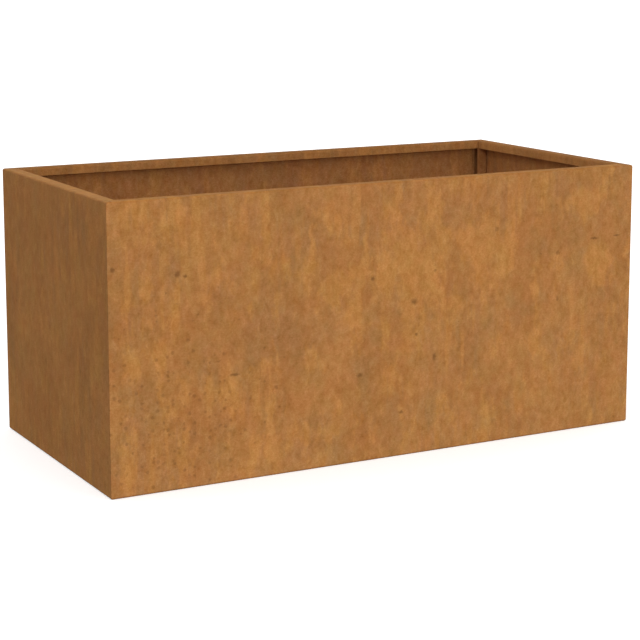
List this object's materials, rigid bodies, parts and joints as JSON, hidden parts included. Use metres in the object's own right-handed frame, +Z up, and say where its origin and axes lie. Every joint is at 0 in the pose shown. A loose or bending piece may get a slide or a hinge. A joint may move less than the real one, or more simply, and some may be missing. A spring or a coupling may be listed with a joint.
{
  "type": "planter box",
  "caption": "Long open-topped weathering-steel planter box of folded sheet panels, with an inward rim, channel corner posts and a drained base.",
  "frame": {"origin": "middle of the footprint, on the ground plane under the foot flanges", "axes": "+X along the length, +Y from the front to the back, +Z up"},
  "size_m": [0.62, 0.3, 0.29],
  "materials": {
    "weathering_steel": "matt rust patina, mottled orange to brown, with dark specks and faint vertical run marks",
    "weathering_steel_inner": "matt rust patina, a little darker and more even than outside",
    "zinc_plate": "bright zinc plate, satin"
  },
  "bodies": {
    "root": {"front_panel": "weathering_steel", "back_panel": "weathering_steel", "left_end_panel": "weathering_steel", "right_end_panel": "weathering_steel", "base_panel": "weathering_steel_inner", "corner_post_front_left": "weathering_steel_inner", "corner_post_front_right": "weathering_steel_inner", "corner_post_back_left": "weathering_steel_inner", "corner_post_back_right": "weathering_steel_inner", "studs_front_left": "zinc_plate", "studs_front_right": "zinc_plate", "studs_back_left": "zinc_plate", "studs_back_right": "zinc_plate", "washers_front_left": "zinc_plate", "washers_front_right": "zinc_plate", "washers_back_left": "zinc_plate", "washers_back_right": "zinc_plate", "nuts_front_left": "zinc_plate", "nuts_front_right": "zinc_plate", "nuts_back_left": "zinc_plate", "nuts_back_right": "zinc_plate", "base_studs": "zinc_plate", "base_washers": "zinc_plate", "base_nuts": "zinc_plate"}
  },
  "joints": []
}
